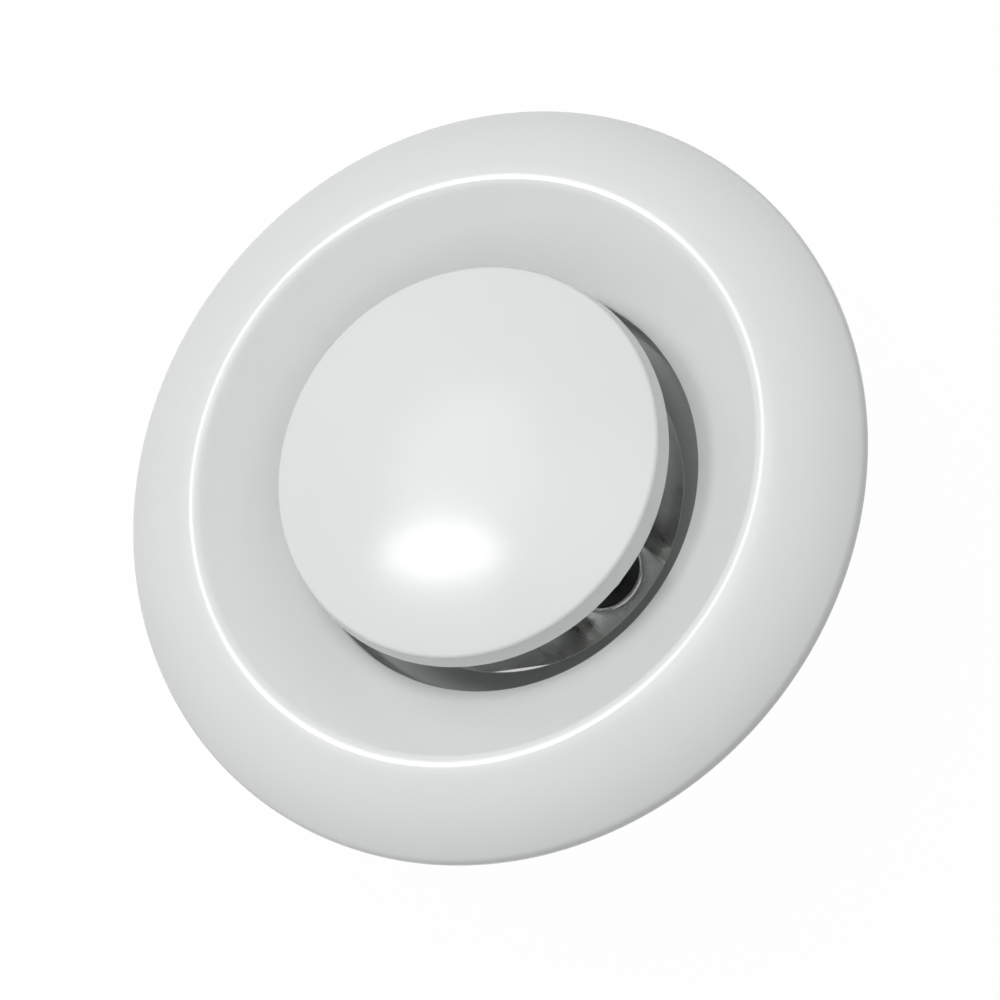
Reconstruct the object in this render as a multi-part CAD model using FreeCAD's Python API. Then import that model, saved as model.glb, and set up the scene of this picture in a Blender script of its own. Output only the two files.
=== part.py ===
import FreeCAD, Part
import math
import os

# Round disc valve for a 100 mm duct, in millimetres.
# z = 0 is the mounting plane behind the rim, +Z points out of the front, the bridge lies along X.

# Mounting collar with its spigot for the duct, the size that the radii below follow
spigot_radius = 49.0
spigot_length = 38.0
flange_width = 11.0
collar_sheet = 0.7
collar_bend = 1.6
bead_bend = 1.5
bead_turn = 50.0
bead_margin = 9.0
screw_count = 3
screw_hole_radius = 2.1
screw_first_angle = 90.0

# Hooks of the twist lock, lanced out of the spigot wall over the bridge's lugs
hook_reach = 6.0
hook_side_gap = 0.3
hook_play = 0.3
hook_stop_drop = 3.2

# Foam gasket under the rim
gasket_width = 5.6
gasket_flange_gap = 2.5
gasket_rim_gap = 1.2

# Valve body, one pressed sheet
body_sheet = 0.8
rim_lip = 1.0
rim_bend = 2.4
crest_height = 10.6
crest_bend = 3.0
crest_outer_slope = 11.0
funnel_width = 17.1
funnel_bow = 3.0
neck_side_gap = 9.8
throat_height = -4.0
throat_bend = 1.0
neck_depth = 9.0
seat_bend = 1.0
seat_width = 6.1

# Valve disc, a dish with a turned-in hem
disc_throat_gap = 1.3
disc_hem_height = 7.8
disc_hem_bend = 1.0
disc_hem_width = 3.0
disc_wall_length = 3.4
disc_wall_draft = 10.0
disc_corner_bend = 0.9
disc_dome_rise = 5.3
disc_sheet = 0.8

# Cup welded inside the disc, which traps the head of the spindle
cup_flange_width = 8.0
cup_bend = 2.0
cup_sheet = 1.2
cup_head_gap = 1.5

# Spindle with its nuts and washer
thread_radius = 4.0
thread_clearance = 0.05
hex_flats = 13.0
head_height = 5.0
head_crown_gap = 0.5
disc_nut_height = 6.5
lock_nut_height = 4.0
nut_chamfer = 0.6
washer_width = 4.0
washer_thickness = 1.6
washer_play = 0.2
opening_travel = 3.0

# Bridge, one folded strip that carries the spindle behind the throat
bridge_sheet = 1.5
bridge_width = 30.0
hub_height = -62.0
hub_margin = 0.1
hub_bend = 1.0
foot_bend = 3.0
foot_seat_overlap = 0.4
foot_overhang = 0.4
lug_width = 12.0
lug_wall_gap = 1.0
hub_lip_radius = 8.5
hub_lip_wall = 0.9
hub_lip_height = 1.8

# Bush pressed into the hub of the bridge
bush_clearance = 0.05
bush_recess = 0.6
bush_chamfer = 1.0
bush_flange_overlap = 2.5
bush_flange = 2.0

# Radii and heights that follow from the sizes above
spigot_inner_radius = spigot_radius - collar_sheet
flange_radius = spigot_radius + flange_width
screw_circle_radius = spigot_radius + flange_width / 2
gasket_inner_radius = flange_radius + gasket_flange_gap
gasket_outer_radius = gasket_inner_radius + gasket_width
rim_radius = gasket_outer_radius + gasket_rim_gap + rim_bend + body_sheet
throat_radius = spigot_radius - neck_side_gap
crest_radius = throat_radius + funnel_width
funnel_span = crest_radius - throat_radius - throat_bend
funnel_drop = crest_height - crest_bend - throat_height
seat_radius = throat_radius - seat_width
seat_height = throat_height - neck_depth
disc_radius = throat_radius - disc_throat_gap
hex_corner = hex_flats / 2 / math.cos(math.radians(30))
cup_pocket_radius = hex_corner + cup_head_gap
cup_flange_radius = cup_pocket_radius + cup_bend + cup_flange_width
washer_radius = thread_radius + washer_width
foot_top = seat_height - body_sheet
foot_radius = throat_radius + body_sheet + foot_overhang
lug_radius = spigot_inner_radius - lug_wall_gap
hub_half_length = hub_lip_radius + hub_margin
hub_back = hub_height - bridge_sheet
hub_lip_top = hub_height + hub_lip_height
bush_flange_radius = hub_lip_radius + bush_flange_overlap
bush_back = hub_back - bush_flange
washer_top = bush_back - washer_play
lock_nut_top = washer_top - washer_thickness
lock_nut_end = lock_nut_top - lock_nut_height
spindle_end = lock_nut_end - opening_travel


def vector(r, z):
    return FreeCAD.Vector(r, 0, z)


def heading_vector(degrees):
    return vector(math.cos(math.radians(degrees)), math.sin(math.radians(degrees)))


def trace(path, start, heading, offset):
    """Edges of a tangent path, moved by an offset to the left of its heading.

    A step is a straight length, or a pair of bend radius and turn in degrees, left turns positive.
    """
    edges = []
    point = start
    for step in path:
        side = heading_vector(heading + 90)
        begin = point + side * offset
        if isinstance(step, tuple):
            radius, turn = step
            sense = math.copysign(1, turn)
            centre = point + side * (radius * sense)
            middle = centre - heading_vector(heading + turn / 2 + 90) * ((radius - offset * sense) * sense)
            heading += turn
            point = centre - heading_vector(heading + 90) * (radius * sense)
            finish = point + heading_vector(heading + 90) * offset
            edges.append(Part.Arc(begin, middle, finish).toShape())
        else:
            point = point + heading_vector(heading) * step
            finish = point + side * offset
            edges.append(Part.LineSegment(begin, finish).toShape())
    return edges


def sheet_face(path, start, heading, thickness):
    """Section of a folded sheet whose visible side follows the path, with the metal on its left."""
    front = trace(path, start, heading, 0)
    back = trace(path, start, heading, thickness)
    first = Part.LineSegment(front[0].Vertexes[0].Point, back[0].Vertexes[0].Point).toShape()
    last = Part.LineSegment(front[-1].Vertexes[-1].Point, back[-1].Vertexes[-1].Point).toShape()
    wire = Part.Wire(Part.__sortEdges__(front + [last] + back + [first]))
    return Part.Face(wire)


def polygon_face(points):
    return Part.Face(Part.makePolygon(points + [points[0]]))


def turned(face):
    return face.revolve(FreeCAD.Vector(0, 0, 0), FreeCAD.Vector(0, 0, 1), 360)


def disc_solid(radius, low, high):
    return Part.makeCylinder(radius, high - low, FreeCAD.Vector(0, 0, low))


def ring_solid(inner_radius, outer_radius, low, high):
    return disc_solid(outer_radius, low, high).cut(disc_solid(inner_radius, low, high))


def hex_prism(low, high):
    points = []
    for index in range(6):
        angle = math.radians(60 * index)
        points.append(FreeCAD.Vector(hex_corner * math.cos(angle), hex_corner * math.sin(angle), low))
    return polygon_face(points).extrude(FreeCAD.Vector(0, 0, high - low))


def hex_nut(low, high):
    """Hexagon nut with both ends turned down at the corners."""
    blank = hex_prism(low, high)
    turned_ends = turned(polygon_face([
        vector(0, low),
        vector(hex_corner - nut_chamfer, low),
        vector(hex_corner, low + nut_chamfer / 2),
        vector(hex_corner, high - nut_chamfer / 2),
        vector(hex_corner - nut_chamfer, high),
        vector(0, high),
    ]))
    return blank.common(turned_ends).cut(disc_solid(thread_radius + thread_clearance, low, high))


def arc_to_bend(start, inward, bend_centre, bend_radius):
    """Radius and end angle of the arc that leaves start and runs smoothly into a smaller bend.

    inward is the unit vector from start to the arc's centre; the angle is measured from +Z.
    """
    gap = start - bend_centre
    radius = (bend_radius ** 2 - gap.dot(gap)) / (2 * (inward.dot(gap) + bend_radius))
    toward_bend = bend_centre - (start + inward * radius)
    return radius, math.degrees(math.atan2(abs(toward_bend.x), toward_bend.z))


def disc_dome():
    """Crown height, radius and edge slope of the dome that runs into the corner above the wall."""
    draft = heading_vector(disc_wall_draft)
    up_wall = heading_vector(90 + disc_wall_draft)
    hem_centre = vector(disc_radius - disc_hem_bend, disc_hem_height + disc_hem_bend)
    corner_centre = hem_centre + draft * (disc_hem_bend - disc_corner_bend) + up_wall * disc_wall_length
    crown = vector(0, corner_centre.z + disc_dome_rise)
    return (crown.z, *arc_to_bend(crown, vector(0, -1), corner_centre, disc_corner_bend))


disc_crown_height, dome_radius, dome_slope = disc_dome()
cup_floor_top = disc_crown_height - disc_sheet - head_crown_gap - head_height


def skirt_arc():
    """Long arc of the rim's skirt, from the crest out to the bend at the rim."""
    crest_centre = vector(crest_radius, crest_height - crest_bend)
    outward = heading_vector(90 - crest_outer_slope)
    rim_centre = vector(rim_radius - rim_bend, rim_lip)
    start = crest_centre + outward * crest_bend
    radius, slope = arc_to_bend(start, -outward, rim_centre, rim_bend)
    return start - outward * radius, radius, slope


def crest_inner_slope():
    """Slope where the funnel leaves the crest: the cone that touches both bends, less the bow."""
    bend_step = (crest_bend - throat_bend) / math.hypot(funnel_span, funnel_drop)
    return math.degrees(math.atan2(funnel_drop, funnel_span) + math.asin(bend_step)) - funnel_bow


def make_valve_body():
    """Rim lip, skirt, crest, slightly bowed funnel, neck and turned-in seat, drawn from one sheet."""
    skirt_radius, rim_slope = skirt_arc()[1:]
    inner_slope = crest_inner_slope()
    crest_centre = vector(crest_radius, crest_height - crest_bend)
    outward = heading_vector(90 + inner_slope)
    throat_centre = vector(throat_radius + throat_bend, throat_height)
    funnel_radius, throat_slope = arc_to_bend(
        crest_centre + outward * crest_bend, -outward, throat_centre, throat_bend)
    path = [
        rim_lip,
        (rim_bend, 90 - rim_slope),
        (skirt_radius, rim_slope - crest_outer_slope),
        (crest_bend, crest_outer_slope + inner_slope),
        (funnel_radius, throat_slope - inner_slope),
        (throat_bend, 90 - throat_slope),
        neck_depth - seat_bend,
        (seat_bend, -90),
        seat_width - seat_bend,
    ]
    return turned(sheet_face(path, vector(rim_radius, 0), 90, body_sheet))


def make_foam_gasket():
    """Foam ring that fills the rim from the mounting plane up to the underside of the skirt."""
    centre, radius = skirt_arc()[:2]
    under = radius - body_sheet

    def under_skirt(r):
        return vector(r, centre.z + math.sqrt(under ** 2 - (r - centre.x) ** 2))

    inner = vector(gasket_inner_radius, 0)
    outer = vector(gasket_outer_radius, 0)
    top_inner = under_skirt(gasket_inner_radius)
    top_middle = under_skirt((gasket_inner_radius + gasket_outer_radius) / 2)
    top_outer = under_skirt(gasket_outer_radius)
    wire = Part.Wire([
        Part.LineSegment(inner, outer).toShape(),
        Part.LineSegment(outer, top_outer).toShape(),
        Part.Arc(top_outer, top_middle, top_inner).toShape(),
        Part.LineSegment(top_inner, inner).toShape(),
    ])
    return turned(Part.Face(wire))


def make_valve_disc():
    """Domed dish: hem flange, leaning wall, tight corner and dome, pressed from one sheet."""
    hem_inner = disc_radius - disc_hem_bend - disc_hem_width
    path = [
        disc_hem_width,
        (disc_hem_bend, 90 + disc_wall_draft),
        disc_wall_length,
        (disc_corner_bend, 90 - disc_wall_draft - dome_slope),
        (dome_radius, dome_slope),
    ]
    return turned(sheet_face(path, vector(hem_inner, disc_hem_height), 0, disc_sheet))


def make_disc_cup():
    """Round cup whose flange follows the inside of the dome, with a pocket for the spindle's head."""
    inside_radius = dome_radius - disc_sheet
    centre_height = disc_crown_height - dome_radius
    outer_slope = math.degrees(math.asin(cup_flange_radius / inside_radius))
    wall_centre_radius = cup_pocket_radius + cup_bend
    inner_slope = math.degrees(math.asin(wall_centre_radius / (inside_radius - cup_bend)))
    start_height = centre_height + inside_radius * math.cos(math.radians(outer_slope))
    shoulder_height = centre_height + (inside_radius - cup_bend) * math.cos(math.radians(inner_slope))
    path = [
        (inside_radius, outer_slope - inner_slope),
        (cup_bend, 90 + inner_slope),
        shoulder_height - cup_floor_top - cup_sheet,
        (cup_sheet, -90),
        cup_pocket_radius - cup_sheet - thread_radius - thread_clearance,
    ]
    return turned(sheet_face(path, vector(cup_flange_radius, start_height), 180 - outer_slope, cup_sheet))


def make_spindle():
    """Hexagon-headed spindle; its plain cylinder is the outside of the thread."""
    shank = turned(polygon_face([
        vector(0, spindle_end),
        vector(thread_radius - nut_chamfer, spindle_end),
        vector(thread_radius, spindle_end + nut_chamfer),
        vector(thread_radius, cup_floor_top),
        vector(0, cup_floor_top),
    ]))
    return shank.fuse(hex_prism(cup_floor_top, cup_floor_top + head_height)).removeSplitter()


def make_disc_nut():
    top = cup_floor_top - cup_sheet
    return hex_nut(top - disc_nut_height, top)


def make_lock_nut():
    return hex_nut(lock_nut_end, lock_nut_top)


def make_lock_washer():
    return ring_solid(thread_radius + thread_clearance, washer_radius, lock_nut_top, washer_top)


def bridge_path():
    """Fold of the strip from one lug's end to the other, with the leg angle that meets hub and feet."""
    foot_start = seat_radius + foot_seat_overlap
    span = foot_start - hub_half_length
    drop = foot_top - hub_height
    bends = foot_bend + hub_bend
    reach = math.hypot(span, drop - bends)
    angle = math.atan2(drop - bends, span) + math.asin(bends / reach)
    leg = (drop - bends * (1 - math.cos(angle))) / math.sin(angle)
    turn = math.degrees(angle)
    foot = lug_radius - foot_start
    return [
        foot,
        (foot_bend, turn),
        leg,
        (hub_bend, -turn),
        2 * hub_half_length,
        (hub_bend, -turn),
        leg,
        (foot_bend, turn),
        foot,
    ]


def bridge_strip(width):
    face = sheet_face(bridge_path(), vector(lug_radius, foot_top), 180, bridge_sheet)
    strip = face.extrude(FreeCAD.Vector(0, width, 0))
    strip.translate(FreeCAD.Vector(0, -width / 2, 0))
    return strip


def make_hub_lip():
    """Drawn ring round the hub hole, with a half-round top."""
    wall_round = hub_lip_wall / 2
    height = hub_lip_top - wall_round - hub_back
    start = vector(hub_lip_radius, hub_back)
    edges = trace([height, (wall_round, 180), height], start, 90, 0)
    edges.append(Part.LineSegment(edges[-1].Vertexes[-1].Point, start).toShape())
    return turned(Part.Face(Part.Wire(edges)))


def make_bridge():
    """Wide U-shaped strip with narrow lugs past the neck and a hub hole with an upstanding lip."""
    wide = bridge_strip(bridge_width).common(disc_solid(foot_radius, hub_back, foot_top))
    lugs = bridge_strip(lug_width).common(disc_solid(lug_radius, hub_back, foot_top))
    bore = disc_solid(hub_lip_radius - hub_lip_wall, hub_back, hub_lip_top)
    return wide.fuse(lugs).cut(bore).fuse(make_hub_lip()).removeSplitter()


def make_bridge_bush():
    """Threaded bush in the hub, with a flange behind the plate and a countersunk front."""
    body_radius = hub_lip_radius - hub_lip_wall - bush_clearance
    bore = thread_radius + thread_clearance
    top = hub_lip_top - bush_recess
    return turned(polygon_face([
        vector(bore, bush_back),
        vector(bush_flange_radius, bush_back),
        vector(bush_flange_radius, hub_back),
        vector(body_radius, hub_back),
        vector(body_radius, top),
        vector(bore + bush_chamfer, top),
        vector(bore, top - bush_chamfer),
    ]))


def angular_block(inner_radius, outer_radius, low, high, first, last):
    """Part of a ring between two angles in degrees."""
    face = polygon_face([
        vector(inner_radius, low),
        vector(outer_radius, low),
        vector(outer_radius, high),
        vector(inner_radius, high),
    ])
    face.rotate(FreeCAD.Vector(0, 0, 0), FreeCAD.Vector(0, 0, 1), first)
    return face.revolve(FreeCAD.Vector(0, 0, 0), FreeCAD.Vector(0, 0, 1), last - first)


def add_hook(collar, angle):
    """One hook of the twist lock: a tab lanced out of the wall, with a down-turned stop at one end."""
    root = (spigot_inner_radius + spigot_radius) / 2
    tip = spigot_radius - hook_reach
    low = foot_top + hook_play
    high = low + collar_sheet
    stop_angle = math.degrees(collar_sheet / tip)
    half_angle = math.degrees(math.asin(lug_width / 2 / tip) + hook_side_gap / tip) + stop_angle
    first = angle - half_angle
    last = angle + half_angle
    window = angular_block(tip, spigot_radius + collar_sheet, low - hook_reach, low, first, last)
    tab = angular_block(tip, root, low, high, first, last)
    stop = angular_block(
        tip, spigot_inner_radius - hook_play, low - hook_stop_drop, high, first, first + stop_angle)
    return collar.cut(window).fuse(tab).fuse(stop)


def make_mounting_collar():
    """Flanged collar: a spigot for the duct with a stiffening bead and the hooks of the twist lock."""
    bead_height = 4 * bead_bend * math.sin(math.radians(bead_turn))
    run = spigot_length + collar_sheet - collar_bend - bead_height - bead_margin
    path = [
        flange_radius - spigot_inner_radius - collar_bend,
        (collar_bend, 90),
        run,
        (bead_bend, -bead_turn),
        (bead_bend, 2 * bead_turn),
        (bead_bend, -bead_turn),
        bead_margin,
    ]
    collar = turned(sheet_face(path, vector(flange_radius, collar_sheet), 180, collar_sheet))
    for index in range(screw_count):
        angle = math.radians(screw_first_angle + index * 360 / screw_count)
        hole = disc_solid(screw_hole_radius, 0, collar_sheet)
        hole.translate(FreeCAD.Vector(
            screw_circle_radius * math.cos(angle), screw_circle_radius * math.sin(angle), 0))
        collar = collar.cut(hole)
    for angle in (0, 180):
        collar = add_hook(collar, angle)
    return collar.removeSplitter()


makers = {
    "valve_body": make_valve_body,
    "foam_gasket": make_foam_gasket,
    "valve_disc": make_valve_disc,
    "disc_cup": make_disc_cup,
    "spindle": make_spindle,
    "disc_nut": make_disc_nut,
    "lock_nut": make_lock_nut,
    "lock_washer": make_lock_washer,
    "bridge": make_bridge,
    "bridge_bush": make_bridge_bush,
    "mounting_collar": make_mounting_collar,
}

os.makedirs("parts", exist_ok=True)
for node, make in makers.items():
    solid = make()
    print(node, solid.isValid(), len(solid.Solids), round(solid.Volume, 2), solid.BoundBox)
    solid.exportStep("parts/" + node + ".step")
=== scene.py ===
import math
import bmesh
import bpy
from mathutils import Matrix, Vector


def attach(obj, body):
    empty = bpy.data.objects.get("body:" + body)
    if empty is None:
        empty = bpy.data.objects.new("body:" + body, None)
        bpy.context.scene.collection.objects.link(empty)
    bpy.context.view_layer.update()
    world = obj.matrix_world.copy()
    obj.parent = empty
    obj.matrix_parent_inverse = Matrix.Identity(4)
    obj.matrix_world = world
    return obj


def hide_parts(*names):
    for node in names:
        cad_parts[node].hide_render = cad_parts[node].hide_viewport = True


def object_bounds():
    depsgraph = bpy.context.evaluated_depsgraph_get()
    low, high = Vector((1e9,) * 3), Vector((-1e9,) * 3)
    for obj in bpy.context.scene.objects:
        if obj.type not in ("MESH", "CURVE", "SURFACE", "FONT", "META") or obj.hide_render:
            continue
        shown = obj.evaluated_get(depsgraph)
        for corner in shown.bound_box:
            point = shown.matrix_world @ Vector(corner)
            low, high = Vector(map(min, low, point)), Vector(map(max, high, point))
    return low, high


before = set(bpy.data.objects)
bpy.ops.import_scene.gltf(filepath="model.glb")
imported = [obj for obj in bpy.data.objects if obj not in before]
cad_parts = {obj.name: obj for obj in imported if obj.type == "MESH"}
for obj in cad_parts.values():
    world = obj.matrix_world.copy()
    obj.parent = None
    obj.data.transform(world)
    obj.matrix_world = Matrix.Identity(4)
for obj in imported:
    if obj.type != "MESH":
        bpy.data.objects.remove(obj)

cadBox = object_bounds()
mm = 0.001
weld = 0.002 * mm  # closer points are one
planeSlack = 1e-8  # for cuts
axisZ = Vector((0, 0, 1))
floorHeight = cadBox[0].z  # just under the spindle's end


# Paths and turned shapes, in millimetres on the XZ plane

def vertsOf(geom):
    return [g for g in geom if isinstance(g, bmesh.types.BMVert)]


def edgesOf(geom):
    return [g for g in geom if isinstance(g, bmesh.types.BMEdge)]


def layPath(bm, start, heading, steps, bendStep=8.0, chord=1.2):
    # a step is a straight length or a (radius, turn) bend, left turns positive, radius 0 for a corner
    vert = bmesh.ops.create_vert(bm, co=(start[0] * mm, 0, start[1] * mm))["vert"][0]
    for step in steps:
        angle = math.radians(heading)
        if isinstance(step, tuple):
            radius, turn = step
            heading += turn
            if radius == 0:
                continue
            left = Vector((-math.sin(angle), 0, math.cos(angle)))
            centre = vert.co + left * math.copysign(radius * mm, turn)
            length = radius * math.radians(abs(turn))
            count = max(2, math.ceil(abs(turn) / bendStep), math.ceil(length / chord))
            spun = bmesh.ops.spin(bm, geom=[vert], cent=centre, axis=(0, -1, 0),
                                  angle=math.radians(turn), steps=count)
            vert = vertsOf(spun["geom_last"])[0]
        else:
            vert = bmesh.ops.extrude_vert_indiv(bm, verts=[vert])["verts"][0]
            ahead = Vector((math.cos(angle), 0, math.sin(angle)))
            bmesh.ops.translate(bm, verts=[vert], vec=ahead * (step * mm))


def backOf(steps, sheet):
    # the same path walked home along the other side of the sheet, which lies on the left
    back = []
    for step in reversed(steps):
        if isinstance(step, tuple):
            radius, turn = step
            back.append((radius - math.copysign(sheet, turn), -turn))
        else:
            back.append(step)
    return back


def aroundSheet(steps, sheet):
    # closed path with half-round cut edges, which take half a sheet off both ends
    edge = [(sheet / 2, 180)]
    inner = [steps[0] - sheet / 2] + steps[1:-1] + [steps[-1] - sheet / 2]
    return inner + edge + backOf(inner, sheet) + edge


def spinFull(bm, steps):
    bmesh.ops.spin(bm, geom=bm.verts[:] + bm.edges[:], cent=(0, 0, 0), axis=axisZ,
                   angle=2 * math.pi, steps=steps, use_merge=True)
    bmesh.ops.remove_doubles(bm, verts=bm.verts[:], dist=weld)
    bmesh.ops.recalc_face_normals(bm, faces=bm.faces[:])


def turnedBmesh(start, heading, steps, turnSteps):
    bm = bmesh.new()
    layPath(bm, start, heading, steps)
    spinFull(bm, turnSteps)
    return bm


def finishPiece(bm, name, material, body, node, sharpAngle=40):
    mesh = bpy.data.meshes.new(name)
    bm.to_mesh(mesh)
    bm.free()
    for face in mesh.polygons:
        face.use_smooth = True
    mesh.set_sharp_from_angle(angle=math.radians(sharpAngle))
    mesh.materials.append(material)
    piece = bpy.data.objects.new(name, mesh)
    bpy.context.scene.collection.objects.link(piece)
    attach(piece, body)
    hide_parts(node)
    print("made", name, len(mesh.polygons), "faces")
    return piece


def arcInto(start, inward, bendCentre, bendRadius):
    # radius and end slope of the arc that leaves start and runs smoothly into a smaller bend
    gap = start - bendCentre
    radius = (bendRadius ** 2 - gap.dot(gap)) / (2 * (inward.dot(gap) + bendRadius))
    toBend = bendCentre - (start + inward * radius)
    return radius, math.degrees(math.atan2(abs(toBend.x), toBend.y))


def slopeVector(degrees):
    return Vector((math.cos(math.radians(degrees)), math.sin(math.radians(degrees))))


# Finishes

def newFinish(name):
    finish = bpy.data.materials.new(name)
    finish.use_nodes = True
    nodes = finish.node_tree.nodes
    return finish, nodes, finish.node_tree.links, nodes["Principled BSDF"]


def objectNoise(nodes, links, scale, detail=3.0):
    coords = nodes.new("ShaderNodeTexCoord")
    noise = nodes.new("ShaderNodeTexNoise")
    noise.inputs["Scale"].default_value = scale
    noise.inputs["Detail"].default_value = detail
    links.new(coords.outputs["Object"], noise.inputs["Vector"])
    return noise.outputs["Fac"]


def objectCells(nodes, links, scale):
    coords = nodes.new("ShaderNodeTexCoord")
    cells = nodes.new("ShaderNodeTexVoronoi")
    cells.inputs["Scale"].default_value = scale
    links.new(coords.outputs["Object"], cells.inputs["Vector"])
    return cells


def colourBetween(nodes, links, factor, low, high, start=0.3, end=0.7):
    ramp = nodes.new("ShaderNodeValToRGB")
    ramp.color_ramp.elements[0].position = start
    ramp.color_ramp.elements[0].color = (*low, 1)
    ramp.color_ramp.elements[1].position = end
    ramp.color_ramp.elements[1].color = (*high, 1)
    links.new(factor, ramp.inputs["Fac"])
    return ramp.outputs["Color"]


def valueBetween(nodes, links, factor, low, high, start=0.3, end=0.7):
    spread = nodes.new("ShaderNodeMapRange")
    spread.inputs["From Min"].default_value = start
    spread.inputs["From Max"].default_value = end
    spread.inputs["To Min"].default_value = low
    spread.inputs["To Max"].default_value = high
    links.new(factor, spread.inputs["Value"])
    return spread.outputs["Result"]


def addBump(nodes, links, shader, height, strength, depth):
    bump = nodes.new("ShaderNodeBump")
    bump.inputs["Strength"].default_value = strength
    bump.inputs["Distance"].default_value = depth
    links.new(height, bump.inputs["Height"])
    links.new(bump.outputs["Normal"], shader.inputs["Normal"])


def axisDistance(nodes, links, centre=(0, 0, 0)):
    # distance from an upright axis through the centre
    coords = nodes.new("ShaderNodeTexCoord")
    flatten = nodes.new("ShaderNodeVectorMath")
    flatten.operation = "MULTIPLY"
    flatten.inputs[1].default_value = (1, 1, 0)
    distance = nodes.new("ShaderNodeVectorMath")
    distance.operation = "DISTANCE"
    distance.inputs[1].default_value = centre
    links.new(coords.outputs["Object"], flatten.inputs[0])
    links.new(flatten.outputs["Vector"], distance.inputs[0])
    return distance.outputs["Value"]


def whitePaint(spec):
    finish, nodes, links, shader = newFinish("whitePaint")
    cloud = objectNoise(nodes, links, scale=38)
    white = colourBetween(nodes, links, cloud, low=(0.848, 0.876, 0.869), high=(0.864, 0.892, 0.885))
    neckShade = nodes.new("ShaderNodeMix")
    neckShade.data_type = "RGBA"
    neckShade.inputs["A"].default_value = (0.36, 0.385, 0.385, 1)  # painted shade: dark grey inside the neck, below the throat and under the disc
    links.new(white, neckShade.inputs["B"])
    height = nodes.new("ShaderNodeSeparateXYZ")
    links.new(nodes.new("ShaderNodeTexCoord").outputs["Object"], height.inputs["Vector"])
    # the paint is white above the throat and turns dark grey below it, a painted shade inside the neck
    unshaded = valueBetween(nodes, links, height.outputs["Z"], low=0, high=1,
                        start=spec["neckShadeDeep"] * mm, end=spec["neckShadeTop"] * mm)
    links.new(unshaded, neckShade.inputs["Factor"])
    links.new(neckShade.outputs["Result"], shader.inputs["Base Color"])
    links.new(valueBetween(nodes, links, cloud, low=0.17, high=0.21), shader.inputs["Roughness"])
    shader.inputs["IOR"].default_value = 1.5
    # painted sheen along the crest, paintedSheenWidth wide
    offCrest = nodes.new("ShaderNodeMath")
    offCrest.operation = "SUBTRACT"
    offCrest.inputs[1].default_value = spec["crestRadius"] * mm
    links.new(axisDistance(nodes, links), offCrest.inputs[0])
    away = nodes.new("ShaderNodeMath")
    away.operation = "ABSOLUTE"
    links.new(offCrest.outputs["Value"], away.inputs[0])
    paintedSheen = valueBetween(nodes, links, away.outputs["Value"], low=1.8, high=0.5,
                         start=spec["paintedSheenWidth"] / 3 * mm, end=spec["paintedSheenWidth"] * mm)
    links.new(paintedSheen, shader.inputs["Specular IOR Level"])  # painted sheen: a narrow ring along the crest reflects far more than the rest of the paint, which brightens its highlight line
    peel = objectNoise(nodes, links, scale=420, detail=2)  # faint orange peel
    addBump(nodes, links, shader, peel, strength=0.06, depth=0.00004)
    return finish


def galvanisedSteel():
    finish, nodes, links, shader = newFinish("galvanisedSteel")
    spangle = objectCells(nodes, links, scale=320)
    split = nodes.new("ShaderNodeSeparateColor")
    links.new(spangle.outputs["Color"], split.inputs["Color"])
    grey = colourBetween(nodes, links, split.outputs["Red"],
                         low=(0.57, 0.58, 0.565), high=(0.64, 0.65, 0.635), start=0, end=1)
    links.new(grey, shader.inputs["Base Color"])
    gloss = valueBetween(nodes, links, split.outputs["Green"], low=0.26, high=0.34, start=0, end=1)
    links.new(gloss, shader.inputs["Roughness"])
    shader.inputs["Metallic"].default_value = 1.0
    addBump(nodes, links, shader, objectNoise(nodes, links, scale=900), strength=0.12, depth=0.00003)
    return finish


def zincPlate():
    finish, nodes, links, shader = newFinish("zincPlate")
    cloud = objectNoise(nodes, links, scale=260)
    links.new(colourBetween(nodes, links, cloud, low=(0.56, 0.57, 0.575), high=(0.68, 0.69, 0.70)),
              shader.inputs["Base Color"])
    links.new(valueBetween(nodes, links, cloud, low=0.24, high=0.36), shader.inputs["Roughness"])
    shader.inputs["Metallic"].default_value = 1.0
    return finish


def blackNylon():
    finish, nodes, links, shader = newFinish("blackNylon")
    grain = objectNoise(nodes, links, scale=700)
    links.new(colourBetween(nodes, links, grain, low=(0.016, 0.016, 0.017), high=(0.030, 0.030, 0.031)),
              shader.inputs["Base Color"])
    links.new(valueBetween(nodes, links, grain, low=0.42, high=0.55), shader.inputs["Roughness"])
    addBump(nodes, links, shader, grain, strength=0.15, depth=0.00003)
    return finish


def greyFoam():
    finish, nodes, links, shader = newFinish("greyFoam")
    pores = objectCells(nodes, links, scale=1300).outputs["Distance"]
    links.new(colourBetween(nodes, links, pores, low=(0.035, 0.036, 0.038), high=(0.085, 0.086, 0.09),
                            start=0, end=0.6), shader.inputs["Base Color"])
    shader.inputs["Roughness"].default_value = 0.95
    addBump(nodes, links, shader, pores, strength=0.7, depth=0.0003)
    return finish


galvanisedFinish = galvanisedSteel()
zincFinish = zincPlate()
nylonFinish = blackNylon()
foamFinish = greyFoam()
print("finishes ready")


# Valve body: rim, skirt, crest, funnel, neck and seat in one drawn sheet

valveBody = {
    "sheet": 0.8,
    "rimRadius": 72.5, "rimLip": 1.0, "rimBend": 2.4,
    "crestRadius": 56.3, "crestHeight": 10.6, "crestBend": 3.0, "outerSlope": 11.0, "funnelBow": 3.0,
    "throatRadius": 39.2, "throatHeight": -4.0, "throatBend": 1.0,
    "neckDepth": 9.0, "seatBend": 1.0, "seatWidth": 6.1,
    # painted shade below the throat: fully dark at neckShadeDeep, gone at neckShadeTop
    # painted sheen: paintedSheenWidth is the width of the more reflective ring along the crest
    "paintedSheenWidth": 2.5, "neckShadeDeep": -6.0, "neckShadeTop": -4.5,
    "turnSteps": 240,
}
paintFinish = whitePaint(valveBody)


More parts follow.
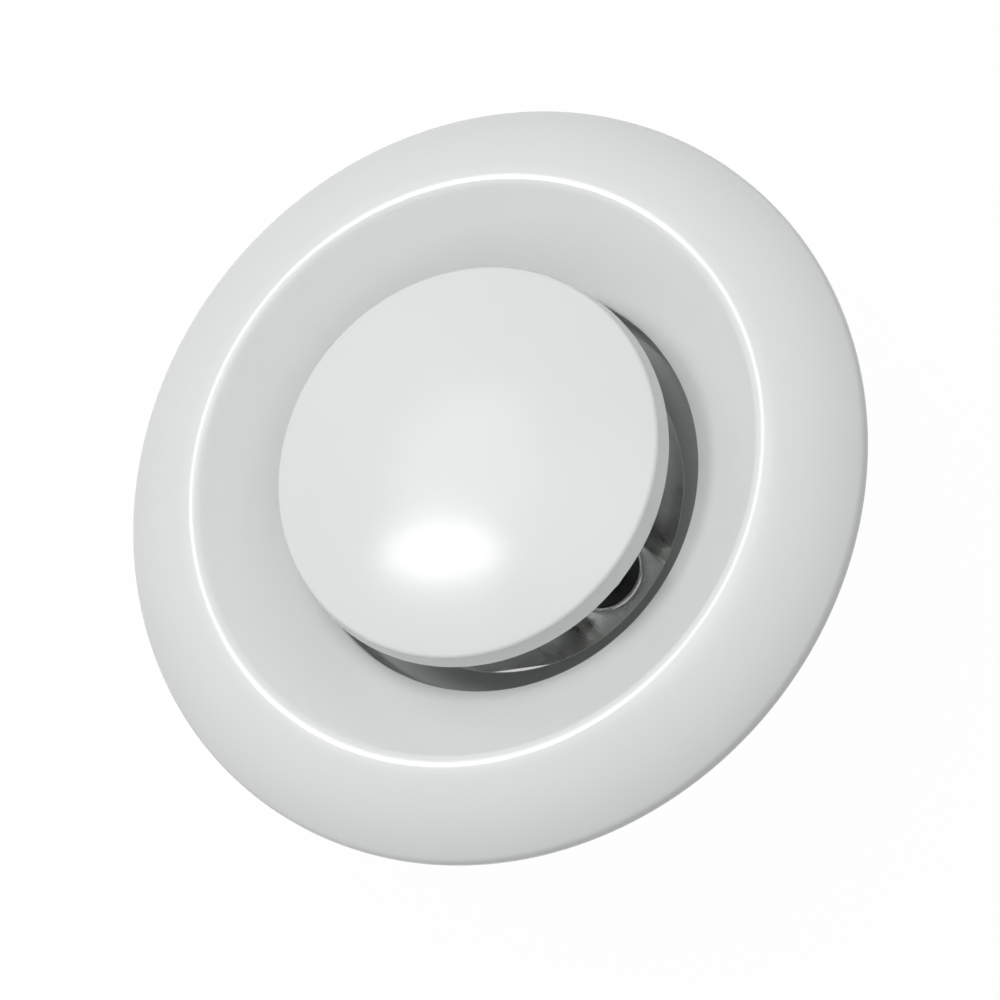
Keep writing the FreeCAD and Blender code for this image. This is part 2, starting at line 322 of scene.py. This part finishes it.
def skirtArc(spec):
    crestCentre = Vector((spec["crestRadius"], spec["crestHeight"] - spec["crestBend"]))
    outward = slopeVector(90 - spec["outerSlope"])
    start = crestCentre + outward * spec["crestBend"]
    rimCentre = Vector((spec["rimRadius"] - spec["rimBend"], spec["rimLip"]))
    radius, slope = arcInto(start, -outward, rimCentre, spec["rimBend"])
    return start - outward * radius, radius, slope


def makeValveBody(spec):
    skirtRadius, rimSlope = skirtArc(spec)[1:]
    crestCentre = Vector((spec["crestRadius"], spec["crestHeight"] - spec["crestBend"]))
    throatCentre = Vector((spec["throatRadius"] + spec["throatBend"], spec["throatHeight"]))
    span = crestCentre - throatCentre
    lean = math.atan2(span.y, span.x) + math.asin((spec["crestBend"] - spec["throatBend"]) / span.length)
    innerSlope = math.degrees(lean) - spec["funnelBow"]  # the cone that touches both bends, less its bow
    outward = slopeVector(90 + innerSlope)
    funnelRadius, throatSlope = arcInto(
        crestCentre + outward * spec["crestBend"], -outward, throatCentre, spec["throatBend"])
    front = [
        spec["rimLip"],
        (spec["rimBend"], 90 - rimSlope),
        (skirtRadius, rimSlope - spec["outerSlope"]),
        (spec["crestBend"], spec["outerSlope"] + innerSlope),
        (funnelRadius, throatSlope - innerSlope),
        (spec["throatBend"], 90 - throatSlope),
        spec["neckDepth"] - spec["seatBend"],
        (spec["seatBend"], -90),
        spec["seatWidth"] - spec["seatBend"],
    ]
    start = (spec["rimRadius"], spec["sheet"] / 2)
    bm = turnedBmesh(start, 90, aroundSheet(front, spec["sheet"]), spec["turnSteps"])
    return finishPiece(bm, "valveBody", paintFinish, "valve", "valve_body", 60)


makeValveBody(valveBody)


# Foam gasket under the skirt

foamGasket = {"innerRadius": 62.5, "outerRadius": 68.1, "edge": 0.5, "turnSteps": 160}


def makeFoamGasket(spec):
    centre, radius = skirtArc(valveBody)[:2]
    under = radius - valveBody["sheet"]
    edge = spec["edge"]

    def topAt(r):
        rise = math.sqrt(under ** 2 - (r - centre.x) ** 2)
        return centre.y + rise, math.degrees(math.asin((r - centre.x) / under))

    outerTop, slopeOut = topAt(spec["outerRadius"])
    innerTop, slopeIn = topAt(spec["innerRadius"])
    bm = bmesh.new()
    layPath(bm, (spec["innerRadius"] + edge, 0), 0, [
        spec["outerRadius"] - spec["innerRadius"] - 2 * edge,
        (edge, 90),
        outerTop - edge,
    ])
    layPath(bm, (spec["outerRadius"], outerTop), 180 - slopeOut, [(under, slopeOut - slopeIn)])
    layPath(bm, (spec["innerRadius"], innerTop), 270, [innerTop - edge, (edge, 90)])
    bmesh.ops.remove_doubles(bm, verts=bm.verts[:], dist=weld)
    spinFull(bm, spec["turnSteps"])
    return finishPiece(bm, "foamGasket", foamFinish, "valve", "foam_gasket")


makeFoamGasket(foamGasket)


# Valve disc: domed dish with a leaning wall and a turned-in hem

valveDisc = {
    "sheet": 0.8, "radius": 37.9,
    "hemHeight": 7.8, "hemBend": 1.0, "hemWidth": 3.0,
    "wallLength": 3.4, "wallDraft": 10.0, "cornerBend": 0.9, "domeRise": 5.3,
    "turnSteps": 192,
}


def discDome(spec):
    hemCentre = Vector((spec["radius"] - spec["hemBend"], spec["hemHeight"] + spec["hemBend"]))
    cornerCentre = (hemCentre + slopeVector(spec["wallDraft"]) * (spec["hemBend"] - spec["cornerBend"])
                    + slopeVector(90 + spec["wallDraft"]) * spec["wallLength"])
    crown = Vector((0, cornerCentre.y + spec["domeRise"]))
    return (crown.y, *arcInto(crown, Vector((0, -1)), cornerCentre, spec["cornerBend"]))


def makeValveDisc(spec):
    crown, domeRadius, domeSlope = discDome(spec)
    sheet = spec["sheet"]
    front = [  # from the hem's cut edge to the crown
        spec["hemWidth"] - sheet / 2,
        (spec["hemBend"], 90 + spec["wallDraft"]),
        spec["wallLength"],
        (spec["cornerBend"], 90 - spec["wallDraft"] - domeSlope),
        (domeRadius, domeSlope),
    ]
    steps = backOf(front, sheet) + [(sheet / 2, 180)] + front
    bm = turnedBmesh((0, crown - sheet), 0, steps, spec["turnSteps"])
    return finishPiece(bm, "valveDisc", paintFinish, "disc", "valve_disc", 60)


makeValveDisc(valveDisc)


# Cup inside the disc, which traps the spindle's head

discCup = {
    "sheet": 1.2, "flangeRadius": 19.0056, "pocketRadius": 9.0056, "bend": 2.0, "bore": 4.05,
    "headHeight": 5.0, "headRoom": 0.5, "domeRoom": 0.02, "turnSteps": 96,
}


def cupFloorTop():
    return discDome(valveDisc)[0] - valveDisc["sheet"] - discCup["headRoom"] - discCup["headHeight"]


def makeDiscCup(spec):
    crown, domeRadius = discDome(valveDisc)[:2]
    inside = domeRadius - valveDisc["sheet"]
    centre = crown - domeRadius
    sheet = spec["sheet"]
    outerSlope = math.degrees(math.asin(spec["flangeRadius"] / inside))
    innerSlope = math.degrees(math.asin((spec["pocketRadius"] + spec["bend"]) / (inside - spec["bend"])))
    shoulder = centre + (inside - spec["bend"]) * math.cos(math.radians(innerSlope))
    edgeTurn = math.degrees(sheet / inside)  # the flange's last bit is straight
    steps = [
        sheet,
        (inside, outerSlope - innerSlope - edgeTurn),
        (spec["bend"], 90 + innerSlope),
        shoulder - cupFloorTop() - sheet,
        (sheet, -90),
        spec["pocketRadius"] - sheet - spec["bore"],
    ]
    heading = 180 - outerSlope + edgeTurn
    edge = Vector((inside * math.sin(math.radians(outerSlope)),
                   centre + inside * math.cos(math.radians(outerSlope))))
    start = edge + slopeVector(heading) * (sheet / 2) - slopeVector(heading - 90) * spec["domeRoom"]
    bm = turnedBmesh(start, heading, aroundSheet(steps, sheet), spec["turnSteps"])
    return finishPiece(bm, "discCup", galvanisedFinish, "disc", "disc_cup")


makeDiscCup(discCup)


# Spindle with a rolled thread and a hexagon head

threadedSpindle = {
    "radius": 4.0, "pitch": 1.25, "depth": 0.77, "crestFlat": 0.16, "rootFlat": 0.31,
    "end": -74.3, "tip": 0.6, "flats": 13.0, "headHeight": 5.0, "headEdge": 0.35,
    "spareTurns": 3, "turnSteps": 32,
}


def cutAcross(bm, height, below):
    # the cut edges left when all that is below or above a height goes
    cut = bmesh.ops.bisect_plane(bm, geom=bm.verts[:] + bm.edges[:] + bm.faces[:], dist=planeSlack,
                                 plane_co=(0, 0, height * mm), plane_no=axisZ,
                                 clear_inner=below, clear_outer=not below)
    return edgesOf(cut["geom_cut"])


def makeSpindle(spec):
    bm = bmesh.new()
    root = spec["radius"] - spec["depth"]
    top = cupFloorTop()
    rise = (spec["pitch"] - spec["crestFlat"] - spec["rootFlat"]) / 2
    lean = math.degrees(math.atan2(spec["depth"], rise))
    flank = math.hypot(spec["depth"], rise)
    layPath(bm, (root, spec["end"] - spec["pitch"]), 90, [
        spec["rootFlat"], (0, -lean), flank, (0, lean), spec["crestFlat"], (0, lean), flank])
    bmesh.ops.spin(bm, geom=bm.verts[:] + bm.edges[:], cent=(0, 0, 0), axis=axisZ, angle=2 * math.pi,
                   steps=spec["turnSteps"], dvec=(0, 0, spec["pitch"] * mm / spec["turnSteps"]))
    length = spec["pitch"]
    while length < top - spec["end"] + spec["spareTurns"] * spec["pitch"]:  # one turn, doubled
        copy = bmesh.ops.duplicate(bm, geom=bm.verts[:] + bm.edges[:] + bm.faces[:])["geom"]
        bmesh.ops.translate(bm, verts=vertsOf(copy), vec=(0, 0, length * mm))
        length *= 2
    bmesh.ops.remove_doubles(bm, verts=bm.verts[:], dist=weld)
    bmesh.ops.edgeloop_fill(bm, edges=cutAcross(bm, top + spec["headEdge"], False))
    rimEdges = cutAcross(bm, spec["end"] + spec["tip"], True)
    grown = bmesh.ops.extrude_edge_only(bm, edges=rimEdges)["geom"]
    tipVerts = vertsOf(grown)
    shrink = root / spec["radius"]
    bmesh.ops.scale(bm, verts=tipVerts, vec=(shrink, shrink, 1))
    bmesh.ops.translate(bm, verts=tipVerts, vec=(0, 0, -spec["tip"] * mm))
    bmesh.ops.edgeloop_fill(bm, edges=[e for e in edgesOf(grown) if all(v in tipVerts for v in e.verts)])
    corner = spec["flats"] * mm / math.sqrt(3)
    place = Matrix.Translation((0, 0, (top + spec["headHeight"] / 2) * mm))
    head = bmesh.ops.create_cone(
        bm, cap_ends=True, segments=6, radius1=corner, radius2=corner, depth=spec["headHeight"] * mm,
        matrix=place @ Matrix.Rotation(math.pi / 6, 4, "Z"))
    headEdges = list({e for v in head["verts"] for e in v.link_edges})
    bmesh.ops.bevel(bm, geom=headEdges, offset=spec["headEdge"] * mm, offset_type="OFFSET", segments=2,
                    profile=0.5, affect="EDGES", material=-1)
    bmesh.ops.recalc_face_normals(bm, faces=bm.faces[:])
    return finishPiece(bm, "threadedSpindle", zincFinish, "disc", "spindle", 25)


makeSpindle(threadedSpindle)


# Bridge: one folded strip with lugs for the twist lock and a drawn lip round its hub hole

bridgeStrip = {
    "sheet": 1.5, "width": 30.0, "lugWidth": 12.0, "lugReach": 47.1, "edge": 0.15,
    "footRadius": 40.4, "footTop": -13.8, "footStart": 33.5, "footBend": 3.0, "footSteps": 4,
    "hubHeight": -62.0, "hubHalf": 8.6, "hubBend": 1.0,
    "lipRadius": 8.5, "lipWall": 0.9, "lipHeight": 1.8, "lipInset": 0.1, "turnSteps": 96,
}


def bridgePath(spec):
    # half of the fold down to the hub, the hub, and the same half back up
    bends = spec["footBend"] + spec["hubBend"]
    span = spec["footStart"] - spec["hubHalf"]
    drop = spec["footTop"] - spec["hubHeight"]
    lean = math.atan2(drop - bends, span) + math.asin(bends / math.hypot(span, drop - bends))
    leg = (drop - bends * (1 - math.cos(lean))) / math.sin(lean)
    turn = math.degrees(lean)
    foot = spec["lugReach"] - spec["footStart"]
    half = [foot, (spec["footBend"], turn), leg, (spec["hubBend"], -turn)]
    return half + [2 * spec["hubHalf"]] + half[::-1]


def cutFeet(bm, spec):
    # both ends are rounded with chords of the foot circle, and a straight end is left for each lug
    first = math.asin(spec["lugWidth"] / 2 / spec["footRadius"])
    last = math.asin(spec["width"] / 2 / spec["footRadius"])
    step = (last - first) / spec["footSteps"]
    chords = [(0, spec["footRadius"] * math.cos(first))]
    reach = spec["footRadius"] * math.cos(step / 2)
    for index in range(spec["footSteps"]):
        middle = first + step * (index + 0.5)
        chords += [(middle, reach), (-middle, reach)]
    for turn, distance in chords:
        for end in (0, math.pi):
            outward = Vector((math.cos(turn + end), math.sin(turn + end), 0))
            bmesh.ops.bisect_plane(bm, geom=bm.verts[:] + bm.edges[:] + bm.faces[:], dist=planeSlack,
                                   plane_co=outward * (distance * mm), plane_no=outward, clear_outer=True)
    return chords[0][1] * mm


def drawLugs(bm, endReach, spec):
    ends = [e for e in bm.edges if all(abs(abs(v.co.x) - endReach) < weld for v in e.verts)]
    for end in ends:
        outward = math.copysign(spec["lugReach"] * mm - endReach, end.verts[0].co.x)
        grown = bmesh.ops.extrude_edge_only(bm, edges=[end])["geom"]
        bmesh.ops.translate(bm, verts=vertsOf(grown), vec=(outward, 0, 0))


def openHub(bm, spec):
    plate = min(bm.faces, key=lambda face: face.calc_center_median().z)
    edges = plate.edges[:]
    bmesh.ops.delete(bm, geom=[plate], context="FACES_ONLY")
    hole = bmesh.ops.create_circle(bm, cap_ends=False, segments=spec["turnSteps"],
                                   radius=(spec["lipRadius"] - spec["lipWall"] / 2) * mm,
                                   matrix=Matrix.Translation((0, 0, spec["hubHeight"] * mm)))["verts"]
    edges += list({edge for vert in hole for edge in vert.link_edges})
    bmesh.ops.triangle_fill(bm, use_beauty=True, edges=edges, normal=axisZ)


def makeBridge(spec):
    bm = bmesh.new()
    layPath(bm, (spec["lugReach"], spec["footTop"]), 180, bridgePath(spec))
    bmesh.ops.translate(bm, verts=bm.verts[:], vec=(0, -spec["width"] / 2 * mm, 0))
    grown = bmesh.ops.extrude_edge_only(bm, edges=bm.edges[:])["geom"]
    bmesh.ops.translate(bm, verts=vertsOf(grown), vec=(0, spec["width"] * mm, 0))
    drawLugs(bm, cutFeet(bm, spec), spec)
    openHub(bm, spec)
    bmesh.ops.recalc_face_normals(bm, faces=bm.faces[:])
    if min(bm.faces, key=lambda face: face.calc_center_median().z).normal.z < 0:
        bmesh.ops.reverse_faces(bm, faces=bm.faces[:])  # solidify then grows the sheet downwards
    bmesh.ops.solidify(bm, geom=bm.faces[:], thickness=spec["sheet"] * mm)
    sheared = [e for e in bm.edges if e.is_manifold and e.calc_face_angle() > math.radians(60)
               and min(v.co.xy.length for v in e.verts) > spec["lipRadius"] * mm]
    bmesh.ops.bevel(bm, geom=sheared, offset=spec["edge"] * mm, offset_type="OFFSET", segments=2,
                    profile=0.5, affect="EDGES", material=-1)
    height = spec["sheet"] + spec["lipHeight"] - spec["lipInset"] - spec["lipWall"] / 2
    lip = turnedBmesh((spec["lipRadius"], spec["hubHeight"] - spec["sheet"] + spec["lipInset"]), 90, [
        height, (spec["lipWall"] / 2, 180), height, (0, 90), spec["lipWall"]], spec["turnSteps"])
    lipMesh = bpy.data.meshes.new("hubLip")
    lip.to_mesh(lipMesh)
    lip.free()
    bm.from_mesh(lipMesh)
    bpy.data.meshes.remove(lipMesh)
    bmesh.ops.recalc_face_normals(bm, faces=bm.faces[:])
    return finishPiece(bm, "foldedBridge", galvanisedFinish, "valve", "bridge")


makeBridge(bridgeStrip)


# Bush in the bridge's hub and the loose washer behind it

bridgeBush = {
    "bore": 4.05, "flangeRadius": 11.0, "bodyRadius": 7.55, "back": -65.5, "flange": 2.0, "top": -60.8,
    "countersink": 1.0, "edge": 0.3, "turnSteps": 96,
}


def makeBridgeBush(spec):
    edge = spec["edge"]
    sink = spec["countersink"]
    bodyHeight = spec["top"] - spec["back"] - spec["flange"]
    bm = turnedBmesh((spec["bore"], spec["back"]), 0, [
        spec["flangeRadius"] - spec["bore"] - edge, (edge, 90), spec["flange"] - 2 * edge, (edge, 90),
        spec["flangeRadius"] - edge - spec["bodyRadius"], (0, -90),
        bodyHeight - edge, (edge, 90), spec["bodyRadius"] - edge - spec["bore"] - sink,
        (0, 45), sink * math.sqrt(2), (0, 45), spec["top"] - spec["back"] - sink,
    ], spec["turnSteps"])
    return finishPiece(bm, "bridgeBush", nylonFinish, "valve", "bridge_bush")


makeBridgeBush(bridgeBush)

lockWasher = {"bore": 4.05, "radius": 8.0, "back": -67.3, "thickness": 1.6, "edge": 0.25,
              "turnSteps": 96}


def makeLockWasher(spec):
    edge = spec["edge"]
    width = spec["radius"] - spec["bore"]
    bm = turnedBmesh((spec["bore"] + edge, spec["back"]), 0, [
        width - 2 * edge, (edge, 90), spec["thickness"] - 2 * edge, (edge, 90),
    ] * 2, spec["turnSteps"])
    return finishPiece(bm, "lockWasher", zincFinish, "washer", "lock_washer")


makeLockWasher(lockWasher)


# Camera and light, from the ellipses and the highlight in the photograph

cameraView = {"azimuth": -86.6, "elevation": 62.12, "roll": -51.516, "distance": 738.07,
              "right": -1.80, "up": 3.64, "lens": 144.0}


def makeCamera(spec):
    turn = (Matrix.Rotation(math.radians(spec["azimuth"] + 90), 4, "Z")
            @ Matrix.Rotation(math.radians(90 - spec["elevation"]), 4, "X")
            @ Matrix.Rotation(math.radians(spec["roll"]), 4, "Z"))
    data = bpy.data.cameras.new("photoCamera")
    data.lens = spec["lens"]
    data.sensor_width = 36
    camera = bpy.data.objects.new("photoCamera", data)
    offset = Vector((spec["right"], spec["up"], -spec["distance"])) * mm
    camera.matrix_world = Matrix.Translation(-(turn.to_3x3() @ offset)) @ turn
    bpy.context.scene.collection.objects.link(camera)
    bpy.context.scene.camera = camera


makeCamera(cameraView)

softBox = {"azimuth": 125.8, "elevation": 66.5, "distance": 1.2,
           "width": 0.17, "height": 0.42, "power": 2.1}
glowPanel = {"azimuth": 93.4, "elevation": 64.0, "distance": 1.2,
             "width": 0.5, "height": 0.5, "power": 1.0}
topPanel = {"azimuth": 10.0, "elevation": 85.0, "distance": 1.5,
            "width": 0.8, "height": 0.8, "power": 10.5}
frontPanel = {"azimuth": -95.0, "elevation": 45.0, "distance": 1.5,
              "width": 0.8, "height": 0.8, "power": 0.6}
room = {"strength": 0.19, "floorGlow": 0.985, "floorReach": 6.0,
        "hiddenCentre": (0, 0.008, 0), "hiddenEdge": (0.018, 0.041)}


def makeLight(name, spec):
    azimuth, elevation = math.radians(spec["azimuth"]), math.radians(spec["elevation"])
    toward = Vector((math.cos(elevation) * math.cos(azimuth), math.cos(elevation) * math.sin(azimuth),
                     math.sin(elevation)))
    data = bpy.data.lights.new(name, "AREA")
    data.shape = "ELLIPSE"
    data.size = spec["width"]
    data.size_y = spec["height"]
    data.energy = spec["power"]
    light = bpy.data.objects.new(name, data)
    light.location = toward * spec["distance"]
    light.rotation_euler = (-toward).to_track_quat("-Z", "Y").to_euler()
    bpy.context.scene.collection.objects.link(light)
    return light


def seenDirectly(nodes, links):
    # 1 for the camera, for mirror images and through glass, 0 for the light that falls on the object
    path = nodes.new("ShaderNodeLightPath")
    seen = path.outputs["Is Camera Ray"]
    for ray in ("Is Glossy Ray", "Is Transmission Ray"):
        either = nodes.new("ShaderNodeMath")
        either.operation = "MAXIMUM"
        links.new(seen, either.inputs[0])
        links.new(path.outputs[ray], either.inputs[1])
        seen = either.outputs["Value"]
    return seen


def makeWorld(spec):
    world = bpy.data.worlds.new("whiteRoom")
    world.use_nodes = True
    bpy.context.scene.world = world
    nodes, links = world.node_tree.nodes, world.node_tree.links
    walls = nodes["Background"]
    walls.inputs["Color"].default_value = (1, 1, 1, 1)
    walls.inputs["Strength"].default_value = spec["strength"]
    backdrop = nodes.new("ShaderNodeBackground")
    backdrop.inputs["Color"].default_value = (1, 1, 1, 1)
    backdrop.inputs["Strength"].default_value = 1.0
    mix = nodes.new("ShaderNodeMixShader")
    links.new(seenDirectly(nodes, links), mix.inputs["Fac"])
    links.new(walls.outputs["Background"], mix.inputs[1])
    links.new(backdrop.outputs["Background"], mix.inputs[2])
    links.new(mix.outputs["Shader"], nodes["World Output"].inputs["Surface"])


def makeFloor(spec):
    bm = bmesh.new()
    bmesh.ops.create_grid(bm, x_segments=1, y_segments=1, size=spec["floorReach"])
    bmesh.ops.translate(bm, verts=bm.verts[:], vec=(0, 0, floorHeight))
    mesh = bpy.data.meshes.new("studioFloor")
    bm.to_mesh(mesh)
    bm.free()
    floor = bpy.data.objects.new("studioFloor", mesh)
    bpy.context.scene.collection.objects.link(floor)
    finish, nodes, links, shader = newFinish("paperFloor")
    paper = objectNoise(nodes, links, scale=30)
    links.new(colourBetween(nodes, links, paper, low=(0.66, 0.66, 0.66), high=(0.70, 0.70, 0.70)),
              shader.inputs["Base Color"])
    shader.inputs["Roughness"].default_value = 0.9
    glow = nodes.new("ShaderNodeEmission")
    glow.inputs["Strength"].default_value = 1.0
    amount = nodes.new("ShaderNodeMath")
    amount.operation = "MULTIPLY"
    hidden = axisDistance(nodes, links, spec["hiddenCentre"])  # the glow fades out under the object
    start, end = spec["hiddenEdge"]
    glowing = valueBetween(nodes, links, hidden, low=0, high=spec["floorGlow"], start=start, end=end)
    links.new(glowing, amount.inputs[1])
    mix = nodes.new("ShaderNodeMixShader")
    links.new(seenDirectly(nodes, links), amount.inputs[0])
    links.new(amount.outputs["Value"], mix.inputs["Fac"])
    links.new(shader.outputs["BSDF"], mix.inputs[1])
    links.new(glow.outputs["Emission"], mix.inputs[2])
    links.new(mix.outputs["Shader"], nodes["Material Output"].inputs["Surface"])
    mesh.materials.append(finish)


makeLight("softBox", softBox)
makeLight("glowPanel", glowPanel)
makeLight("topPanel", topPanel).visible_glossy = False  # fills the funnel without a mirror image
makeLight("frontPanel", frontPanel).visible_glossy = False
makeWorld(room)
makeFloor(room)
print("stage ready")
bpy.context.scene.view_settings.view_transform = "Standard"

cadFinishes = {"disc_nut": zincFinish, "lock_nut": zincFinish, "mounting_collar": galvanisedFinish}
for node, finish in cadFinishes.items():
    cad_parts[node].data.materials.clear()
    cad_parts[node].data.materials.append(finish)
